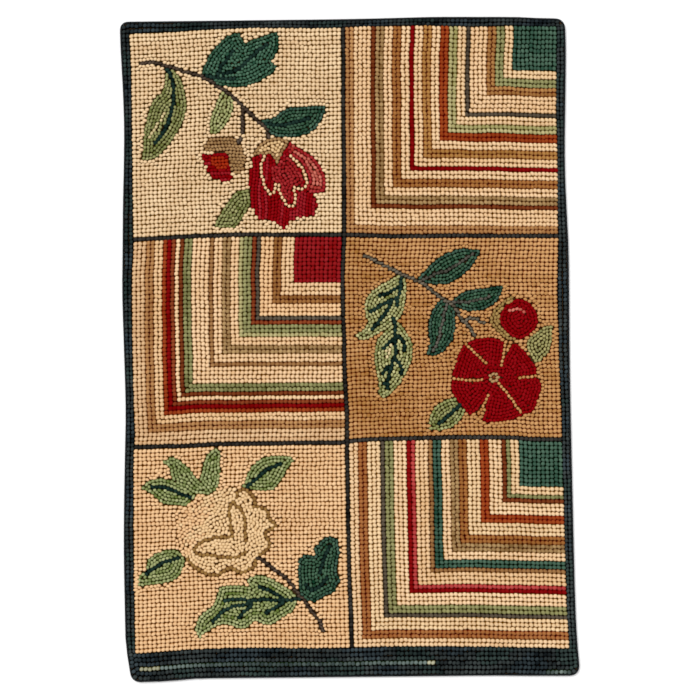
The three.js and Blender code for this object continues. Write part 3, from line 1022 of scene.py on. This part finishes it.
def white_spray():
    """The white rose and its leaves, on the peach ground at the bottom left."""
    motif = Motif(303)
    motif.stems(
        "stem_brown",
        [(-129, -288), (-121, -293), (-110, -302), (-99, -310), (-87, -320), (-79, -330), (-73, -340),
         (-65, -348), (-58, -359), (-51, -369), (-44, -377), (-39, -383)],
        spacing=STEM_PITCH, zigzag=0.5,
    )
    motif.stems("stem_brown", [(-42, -385), (-40, -391)], spacing=STEM_PITCH)
    motif.stems(
        "leaf_vein",
        [(-274, -189), (-259, -189), (-245, -193), (-233, -199), (-221, -203)],
        [(-142, -189), (-134, -182), (-122, -172), (-111, -164), (-97, -159)],
        [(-284, -309), (-274, -302), (-262, -294), (-248, -290), (-236, -287)],
        [(-69, -346), (-85, -347), (-99, -347), (-110, -347), (-122, -346), (-135, -348)],
        [(-136, -347), (-145, -346), (-159, -345), (-168, -346), (-177, -348)],
        [(-137, -350), (-150, -353), (-164, -355), (-178, -362), (-187, -371), (-194, -378)],
        [(-138, -353), (-145, -360), (-152, -367), (-159, -373)],
        [(-98, -343), (-110, -335), (-122, -331), (-128, -329)],
        [(-92, -349), (-104, -356), (-113, -362), (-120, -365)],
        [(-29, -274), (-36, -287), (-41, -301), (-43, -310)],
        [(-62, -326), (-57, -333), (-48, -332), (-39, -324), (-30, -314)],
    )
    # the lines that part the petals
    motif.stems(
        "petal_line",
        [(-157, -204), (-155, -196), (-146, -193), (-138, -199), (-132, -208), (-133, -218), (-123, -218),
         (-115, -224), (-112, -236), (-104, -244), (-116, -251), (-118, -257), (-113, -268), (-115, -276),
         (-124, -282), (-131, -289), (-134, -299), (-145, -306), (-156, -307), (-167, -301), (-175, -305),
         (-186, -311), (-198, -310), (-209, -305), (-220, -297), (-227, -289)],
        [(-162, -211), (-167, -217), (-167, -228), (-166, -240), (-165, -251), (-163, -261)],
        [(-161, -213), (-154, -219), (-148, -228), (-146, -240), (-146, -254), (-144, -268)],
        [(-167, -259), (-176, -259), (-190, -260), (-204, -264), (-215, -272), (-216, -278), (-210, -283),
         (-195, -284), (-181, -286), (-168, -287), (-156, -286), (-145, -279)],
    )
    motif.shape([
        (-154, -191), (-166, -191), (-183, -193), (-197, -201), (-213, -203), (-226, -213), (-236, -225),
        (-241, -244), (-239, -262), (-232, -278), (-226, -289), (-220, -297), (-209, -305), (-198, -310),
        (-186, -312), (-175, -305), (-167, -302), (-156, -307), (-145, -306), (-134, -299), (-131, -289),
        (-124, -282), (-115, -276), (-113, -268), (-118, -256), (-116, -251), (-104, -244), (-112, -236),
        (-115, -224), (-123, -218), (-133, -217), (-132, -208), (-138, -199), (-146, -193),
    ], "rose_white", rows="loose")
    # three leaves above the rose, one at its right, one at its lower left
    motif.shape([
        (-259, -154, 1), (-251, -149), (-242, -148), (-231, -156), (-221, -164), (-216, -173),
        (-208, -182), (-196, -193), (-193, -200, 1), (-206, -199), (-217, -198), (-229, -189),
        (-242, -185), (-248, -173), (-250, -163),
    ], "leaf_green")
    motif.shape([
        (-192, -138, 1), (-185, -136), (-179, -142), (-180, -159), (-180, -177), (-183, -189),
        (-192, -199, 1), (-203, -186), (-210, -179, 1), (-205, -170), (-203, -159), (-198, -147),
    ], "leaf_green")
    motif.shape([
        (-290, -190, 1), (-279, -180), (-265, -177), (-249, -179), (-236, -186), (-224, -193),
        (-213, -200, 1), (-224, -213), (-229, -216, 1), (-247, -213), (-261, -211), (-273, -200),
    ], "leaf_green")
    motif.shape([
        (-150, -190, 1), (-145, -180), (-141, -169), (-131, -157), (-120, -150), (-104, -147),
        (-85, -148), (-74, -153, 1), (-83, -160), (-90, -171), (-97, -183), (-106, -194, 1), (-120, -195),
        (-132, -194), (-139, -192),
    ], "leaf_green")
    motif.shape([
        (-297, -326, 1), (-295, -314), (-285, -303), (-281, -289), (-269, -280), (-255, -276),
        (-242, -277), (-231, -285, 1), (-232, -299), (-239, -313), (-251, -320), (-269, -323),
        (-283, -325),
    ], "leaf_green")
    # big light leaf at the bottom and the toothed dark leaf at the right
    motif.shape([
        (-76, -345, 1), (-85, -333), (-99, -324), (-110, -317), (-126, -313), (-140, -314),
        (-144, -321, 1), (-140, -328, 1), (-159, -326), (-177, -327), (-184, -332, 1), (-187, -343, 1),
        (-194, -355), (-208, -366), (-215, -378), (-216, -392), (-210, -399, 1), (-199, -389),
        (-182, -380), (-166, -382), (-157, -386), (-146, -385), (-136, -377), (-129, -376, 1),
        (-122, -381), (-111, -381), (-97, -372), (-85, -365), (-76, -354),
    ], "leaf_green")
    motif.shape([
        (-71, -340, 1), (-73, -324), (-74, -305), (-73, -292, 1), (-65, -285, 1), (-50, -286, 1),
        (-51, -273, 1), (-43, -269, 1), (-37, -262, 1), (-29, -259, 1), (-17, -265, 1), (-16, -283),
        (-19, -302), (-20, -313, 1), (-12, -320, 1), (-20, -327, 1), (-22, -336, 1), (-37, -343),
        (-51, -351, 1), (-57, -349, 1), (-64, -348),
    ], "leaf_dark", "leaf_teal")
    motif.fill()
    # the outermost petals are hooked in the yarn of the ground here and there, and melt into it
    place, dye = motif.hooked, motif.dye[: motif.count]
    outer = np.clip((-196 - place[:, 0] + 0.35 * (place[:, 1] + 250)) / 34, 0, 0.9)
    dye[(dye == yarn("rose_white")) & (motif.rng.random(motif.count) < outer)] = yarn("peach_cream")
    return motif


# Meshes of the loops

SIDES = 8  # of one loop
# Share of the height, share of the half width, and where along it the cut corner starts
RINGS = ((0.0, 1.2, 0.9), (0.5, 1.04, 0.48), (0.85, 0.91, 0.32))


def loop_faces():
    """Corner numbers of one loop's faces: two bands, the crown, and the foot that closes it."""
    quads = [
        (k * SIDES + i, k * SIDES + (i + 1) % SIDES, (k + 1) * SIDES + (i + 1) % SIDES, (k + 1) * SIDES + i)
        for k in range(len(RINGS) - 1)
        for i in range(SIDES)
    ]
    last = (len(RINGS) - 1) * SIDES
    crown = [(last + i, last + (i + 1) % SIDES, last + SIDES) for i in range(SIDES)]
    return quads + crown + [tuple(range(SIDES - 1, -1, -1))]


def placed(name, data):
    """A new object, put into the scene."""
    made = bpy.data.objects.new(name, data)
    bpy.context.scene.collection.objects.link(made)
    return made


def bake_plan(mesh, faces, count):
    """Lays the loops out flat for a bake, each in a square of its own: the crown in its middle, the foot's
    cap in its corner."""
    wide = math.ceil(math.sqrt(count))
    ring = np.array([(1, 0.5), (0.5, 1), (-0.5, 1), (-1, 0.5), (-1, -0.5), (-0.5, -1), (0.5, -1), (1, -0.5)])
    spread = np.concatenate([ring * 0.47, ring * 0.36, ring * 0.24, [(0, 0)]])
    corners = np.concatenate([np.array(f) for f in faces[:-1]])
    one = np.concatenate([spread[corners], ring[list(faces[-1])] * 0.03 + 0.45])
    cell = np.stack([np.arange(count) % wide, np.arange(count) // wide], 1)
    places = (cell[:, None, :] + 0.5 + one[None, :, :]) / wide
    layer = mesh.uv_layers.new(name="OFBake")
    layer.data.foreach_set("uv", places.ravel().astype(np.float32))


def pile_piece(name, loops):
    """One mesh of many loops, each its own closed form, with its tone and its own plan kept for the yarn."""
    # corners of one loop, as shares of its half length, half width and height
    ahead = np.concatenate([[w, c, -c, -w, -w, -c, c, w] for _, w, c in RINGS] + [[0.0]])
    beside = np.concatenate([[c, w, w, c, -c, -w, -w, -c] for _, w, c in RINGS] + [[0.0]])
    high = np.concatenate([np.full(SIDES, height) for height, _, _ in RINGS] + [[1.0]])
    across = beside[None, :] * loops["across"][:, None]
    along = ahead[None, :] * loops["along"][:, None] + across * loops["slant"][:, None]
    lean = high[None, :] ** 2
    x = loops["x"][:, None] + along * loops["way_x"][:, None] - across * loops["way_y"][:, None]
    y = loops["y"][:, None] + along * loops["way_y"][:, None] + across * loops["way_x"][:, None]
    x = x + lean * loops["lean_x"][:, None]
    y = y + lean * loops["lean_y"][:, None]
    z = PILE_FOOT + high[None, :] * (loops["top"][:, None] - PILE_FOOT)
    corners = len(ahead)
    places = np.stack([x, y, z], 2).reshape(-1, 3) * MM

    faces = loop_faces()
    sizes = np.array([len(f) for f in faces])
    flat = np.concatenate([np.array(f) for f in faces])
    count = len(loops)
    index = (flat[None, :] + np.arange(count)[:, None] * corners).ravel()
    first = np.concatenate([[0], np.cumsum(sizes)[:-1]])
    starts = (first[None, :] + np.arange(count)[:, None] * sizes.sum()).ravel()

    mesh = bpy.data.meshes.new(name)
    mesh.vertices.add(count * corners)
    mesh.loops.add(len(index))
    mesh.polygons.add(count * len(faces))
    mesh.vertices.foreach_set("co", places.ravel())
    mesh.loops.foreach_set("vertex_index", index.astype(np.int32))
    mesh.polygons.foreach_set("loop_start", starts.astype(np.int32))
    used = sorted(set(loops["yarn"].tolist()))
    for key in (yarn_names[dye] for dye in used):
        if key not in yarn_materials:
            yarn_materials[key] = wool("wool_yarn_" + key, *YARNS[key])
        mesh.materials.append(yarn_materials[key])
    slots = np.searchsorted(used, loops["yarn"])
    mesh.polygons.foreach_set("material_index", np.repeat(slots, len(faces)).astype(np.int32))
    mesh.polygons.foreach_set("use_smooth", np.ones(count * len(faces), bool))
    mesh.update(calc_edges=True)
    bake_plan(mesh, faces, count)

    tone = mesh.attributes.new("tone", "FLOAT", "POINT")
    tone.data.foreach_set("value", np.repeat(np.clip(loops["tone"], 0, 1), corners).astype(np.float32))
    # the loop's own plan for the yarn's twist, and its share of the height, which the yarn uses for its
    # painted shade towards the foot
    spot = mesh.attributes.new("on_loop", "FLOAT_VECTOR", "POINT")
    kept = np.stack([along, across, np.broadcast_to(high, along.shape)], 2)
    spot.data.foreach_set("vector", kept.astype(np.float32).ravel())

    return placed(name, mesh)


RIM_REACH = 5.0  # mm from the edge within which loops give way to the tape
RIM_FADE = 3.0  # mm over which they do so more and more
RIM_ROOM = 1.6  # mm from the edge where no loop stands
RIM_DROP = 0.7
RIM_LEAN = 0.35
RIM_HALF = (312, 456)  # from the rug's middle to its sides and ends, to tell which of them is nearest


def settle_rim(loops):
    """Keeps the outermost loops inside the tape: they stand a little lower and lean outwards."""
    places = np.stack([loops["x"], loops["y"]], 1)
    distance = reach(places, curve([(*p, 1) for p in foot], step=2.0))
    side = np.abs(places[:, 0]) / RIM_HALF[0] > np.abs(places[:, 1]) / RIM_HALF[1]
    close = np.clip((RIM_REACH - distance) / RIM_FADE, 0, 1)
    loops["top"] -= close * RIM_DROP
    loops["lean_x"] += np.where(side, np.sign(places[:, 0]), 0) * close * RIM_LEAN
    loops["lean_y"] += np.where(side, 0, np.sign(places[:, 1])) * close * RIM_LEAN
    return loops[inside(places, foot) & (distance > RIM_ROOM)]


# The pile, piece by piece


def mark_as_rug(piece):
    """Hangs a piece on the root, so that it lies still, and hides the rug's solid, which it stands in for."""
    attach(piece, "root")
    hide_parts("rug")


def put(name, loops):
    """Makes a piece of pile, hangs it on the root and hides the rug's solid in its place."""
    piece = pile_piece(name, loops)
    mark_as_rug(piece)


def put_spray(name, motif, sides, columns, rows, ground_dye, seed, fade=0.0, press=1.0):
    """Makes the ground of a flower block and the spray on it, as pieces of their own. fade is how much paler
    the ground is at its upper right."""
    ground = grid(sides, columns, rows, seed, press=press)
    ground["yarn"] = yarn(ground_dye)
    u, v = np.arange(columns) / columns, np.arange(rows)[:, None] / rows
    ground["tone"] += fade * (u * 0.25 + np.clip(v - 0.45, 0, 1) * u * 1.6 - 0.22)
    loops = motif.with_ground(ground, sides)
    leaf = np.isin(loops["yarn"], LEAF_YARNS)
    stem = np.isin(loops["yarn"], STEM_YARNS)
    plain = loops["yarn"] == yarn(ground_dye)
    flower = ~plain & ~leaf & ~stem
    for part, which in (("ground", plain), ("leaf", leaf), ("stem", stem), ("flower", flower)):
        put(name + "_" + part + "_loops", loops[which])


put("border_loops", settle_rim(border()))
put("divider_loops", dividers())
for name, *block in (
    ("upper", right_column + top_blocks, 50, 49, TOP_STRIPES, "forest", 11, -0.2, upper_pull),
    ("middle", left_column + middle_blocks, 49, 49, MIDDLE_STRIPES, "crimson", 12, 0.1, middle_pull),
    ("lower", right_column + bottom_blocks, 49, 50, BOTTOM_STRIPES, "forest", 13, -0.15, lower_pull),
):
    put(name + "_stripe_loops", stripes(*block))
put_spray("rose_block", rose_spray(), left_column + top_blocks, 50, 49, "cream", 21)
tan_block = right_column + middle_blocks
put_spray("pinwheel_block", pinwheel_spray(), tan_block, 49, 49, "tan_ground", 22, fade=0.55, press=0.97)
put_spray("white_rose_block", white_spray(), left_column + bottom_blocks, 50, 50, "peach_cream", 23)

# Backing cloth and edge tape

THREAD = 1.3  # mm between the threads of the canvas
RIB = 1.6  # mm between the ribs of the twill tape


def cotton(tree, place, relief, slubs, share, depth, dyes, rough):
    """The finish of a cotton cloth: its slubs move the colour, and its relief does too, lighter on the raised
    threads and darker in the hollows as painted shade; the relief also stands proud.
    """
    deep, light = dyes
    slub = add(tree, "TexNoise", None, {"Vector": place, "Scale": slubs, "Detail": 4.0})
    clamped = {"operation": "MULTIPLY_ADD", "use_clamp": True}
    # painted shade: the hollows of the weave come out darker and the raised threads lighter
    mixed = add(tree, "Math", clamped, {0: relief, 1: share, 2: slub.outputs["Fac"]})
    colour = add(tree, "Mix", {"data_type": "RGBA"}, {0: mixed.outputs[0], 6: linear(deep), 7: linear(light)})
    bump = add(tree, "Bump", None, {"Strength": 0.6, "Distance": depth * MM, "Height": relief})
    finish = {
        "Base Color": colour.outputs[2],
        "Normal": bump.outputs[0],
        "Roughness": rough,
        "Specular IOR Level": 0.2,
    }
    surface = add(tree, "BsdfPrincipled", None, finish)
    add(tree, "OutputMaterial", None, {0: surface.outputs[0]})


def canvas(name, *dyes):
    """Cotton canvas, plain woven and washed: matt, with its threads crossing over and under."""
    material, tree = blank(name)
    place = add(tree, "TexCoord").outputs["Object"]
    parts = add(tree, "SeparateXYZ", None, {0: place})
    threads = []
    per_thread = math.pi / (THREAD * MM)
    for axis in (0, 1):
        turns = add(tree, "Math", {"operation": "MULTIPLY"}, {0: parts.outputs[axis], 1: per_thread})
        threads.append(add(tree, "Math", {"operation": "SINE"}, {0: turns.outputs[0]}).outputs[0])
    weave = add(tree, "Math", {"operation": "MULTIPLY"}, {0: threads[0], 1: threads[1]})
    cotton(tree, place, weave.outputs[0], slubs=90.0, share=0.35, depth=0.3, dyes=dyes, rough=0.92)
    return material


def twill(name, *dyes):
    """Cotton twill tape, woven narrow and dyed near black: matt, with fine slanting ribs."""
    material, tree = blank(name)
    place = add(tree, "TexCoord").outputs["Object"]
    slant = add(tree, "VectorMath", {"operation": "DOT_PRODUCT"}, {0: place, 1: (0.7, 0.7, 0.9)})
    per_rib = 2 * math.pi / (RIB * MM)
    turns = add(tree, "Math", {"operation": "MULTIPLY"}, {0: slant.outputs["Value"], 1: per_rib})
    rib = add(tree, "Math", {"operation": "SINE"}, {0: turns.outputs[0]})
    cotton(tree, place, rib.outputs[0], slubs=140.0, share=0.25, depth=0.25, dyes=dyes, rough=0.88)
    return material


HEM = 28  # mm of twill tape turned under the edge
HEM_THICK = 0.5


def backing():
    """The canvas that the loops are hooked through: a closed slab with the tape's hem round its underside,
    and its top, seen only down between the loops, given painted shade.
    """
    count = len(foot)
    inner = foot * (1 - HEM / np.abs(foot).max(0))
    rings = [(foot, BACKING_TOP), (foot, 0.0), (inner, 0.0), (inner, HEM_THICK)]
    corners = [(x * MM, y * MM, z * MM) for ring, z in rings for x, y in ring]
    corners += [(0, 0, BACKING_TOP * MM), (0, 0, HEM_THICK * MM)]
    top, under = 4 * count, 4 * count + 1
    plain, hem, under_pile = 0, 1, 2
    faces = []
    slots = []
    for i in range(count):
        j = (i + 1) % count
        faces.append((top, i, j))
        slots.append(under_pile)
        for k in range(3):
            faces.append((k * count + j, k * count + i, (k + 1) * count + i, (k + 1) * count + j))
            slots.append(hem if k else plain)
        faces.append((under, 3 * count + j, 3 * count + i))
        slots.append(plain)
    mesh = bpy.data.meshes.new("backing_cloth")
    mesh.from_pydata(corners, [], faces)
    mesh.materials.append(canvas("cotton_canvas_backing", "8a744f", "c4ac80"))
    mesh.materials.append(twill("cotton_twill_hem", "0c0e0f", "262b2c"))
    # painted shade: the canvas's top, seen only deep between the loops, is given a dark brown for the shade
    # there instead of its own natural colour
    mesh.materials.append(canvas("cotton_canvas_painted_shade_under_pile", "38260f", "5c4222"))
    mesh.polygons.foreach_set("material_index", slots)
    mesh.update()
    return placed("backing_cloth", mesh)


cloth = backing()
mark_as_rug(cloth)

tape = twill("cotton_twill_edge_tape", "06080a", "1d2224")
strips = [bpy.data.objects["binding_" + side] for side in ("right", "top", "left", "bottom")]
for strip in strips:
    strip.data.materials.clear()
    strip.data.materials.append(tape)

# Floor, light and camera


def floor_finish():
    """Painted studio floor, rolled on: matt and almost even."""
    material, tree = blank("matt_floor_paint")
    place = add(tree, "TexCoord").outputs["Object"]
    mottle = add(tree, "TexNoise", None, {"Vector": place, "Scale": 3.0, "Detail": 2.0}).outputs["Fac"]
    colour = add(tree, "Mix", {"data_type": "RGBA"}, {0: mottle, 6: linear("fbfbfb"), 7: linear("fdfdfd")})
    finish = {"Base Color": colour.outputs[2], "Roughness": 0.8, "Specular IOR Level": 0.1}
    surface = add(tree, "BsdfPrincipled", None, finish)
    add(tree, "OutputMaterial", None, {0: surface.outputs[0]})
    return material


FLOOR_REACH = 8  # metres from the rug's middle
floor_mesh = bpy.data.meshes.new("studio_floor")
floor_corners = [(x * FLOOR_REACH, y * FLOOR_REACH, 0) for x, y in ((-1, -1), (1, -1), (1, 1), (-1, 1))]
floor_mesh.from_pydata(floor_corners, [], [(0, 1, 2, 3)])
floor_mesh.materials.append(floor_finish())
floor = placed("studio_floor", floor_mesh)

SKY_STRENGTH = 0.8
SUN_STRENGTH = 1.7
SUN_WIDTH = math.radians(28)  # wide, so that the shadows between the loops stay soft
SUN_TURN = (math.radians(-26), math.radians(-24), 0)  # from the upper left of the picture

world = bpy.data.worlds.new("soft_studio")
world.use_nodes = True
sky = world.node_tree.nodes["Background"]
sky.inputs[0].default_value = (1.0, 1.0, 1.0, 1.0)
sky.inputs[1].default_value = SKY_STRENGTH
bpy.context.scene.world = world

sun_data = bpy.data.lights.new("softbox", "SUN")
sun_data.energy = SUN_STRENGTH
sun_data.angle = SUN_WIDTH
sun = placed("softbox", sun_data)
sun.rotation_euler = SUN_TURN

LENS = 135.0
SENSOR = 36.0
VIEW_WIDTH = 0.9695  # metres of the pile's plane across the picture
VIEW_PLACE = (0.00203, -0.00165)  # metres from the rug's middle to the middle of the picture
VIEW_TURN = -0.01165  # the rug lies a little turned in the picture
PILE_PLANE = 0.008  # metres above the floor
camera_data = bpy.data.cameras.new("camera")
camera_data.lens = LENS
camera_data.sensor_width = SENSOR
camera = placed("camera", camera_data)
camera.location = (*VIEW_PLACE, PILE_PLANE + VIEW_WIDTH * LENS / SENSOR)
camera.rotation_euler = (0, 0, VIEW_TURN)
bpy.context.scene.camera = camera
bpy.context.scene.view_settings.view_transform = "Standard"
